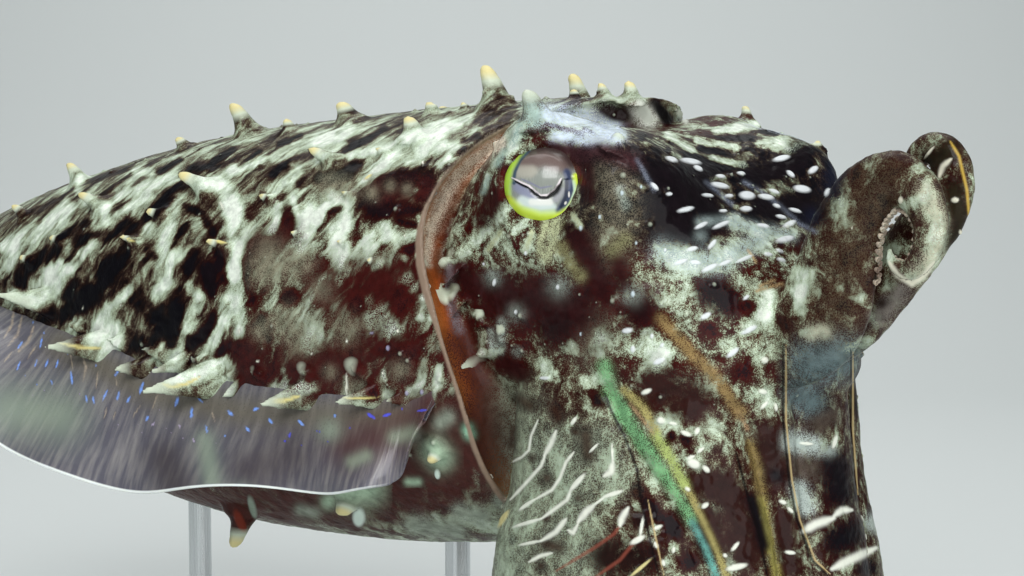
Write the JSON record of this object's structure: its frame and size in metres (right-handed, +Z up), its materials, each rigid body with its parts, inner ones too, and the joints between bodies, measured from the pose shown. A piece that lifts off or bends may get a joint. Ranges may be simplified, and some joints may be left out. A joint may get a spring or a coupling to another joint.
{
  "type": "cuttlefish",
  "caption": "Life-size still model of a broadclub cuttlefish with raised front arms, held on a plain two-rod display stand.",
  "frame": {"origin": "centre of the underside of the stand's base", "axes": "+X towards the animal's head and arms, +Y towards its left side, +Z up"},
  "size_m": [0.5525, 0.2456, 0.2937],
  "materials": {
    "skin": "mottled cream, maroon and black-brown living skin, wet gloss",
    "fin_membrane": "thin violet-grey translucent membrane with blue spots and a white margin",
    "arm_skin": "mottled skin with white streaks and pale suckers",
    "eye": "wet glossy eye, yellow-green ring, black W-shaped pupil",
    "stand_plate": "plain satin white",
    "stand_rod": "satin"
  },
  "bodies": {
    "root": {"mantle": "skin", "head": "skin", "fin_left": "fin_membrane", "fin_right": "fin_membrane", "funnel": "skin", "eye_left": "eye", "eye_right": "eye", "arm_1_left_base": "arm_skin", "arm_1_left_mid": "arm_skin", "arm_1_left_tip": "arm_skin", "arm_2_left_base": "arm_skin", "arm_2_left_tip": "arm_skin", "arm_3_left_base": "arm_skin", "arm_3_left_tip": "arm_skin", "arm_4_left_base": "arm_skin", "arm_4_left_tip": "arm_skin", "arm_1_right_base": "arm_skin", "arm_1_right_mid": "arm_skin", "arm_1_right_tip": "arm_skin", "arm_2_right_base": "arm_skin", "arm_2_right_tip": "arm_skin", "arm_3_right_base": "arm_skin", "arm_3_right_tip": "arm_skin", "arm_4_right_base": "arm_skin", "arm_4_right_tip": "arm_skin", "stand_base": "stand_plate", "stand_rod_front": "stand_rod", "stand_rod_rear": "stand_rod"}
  },
  "joints": []
}
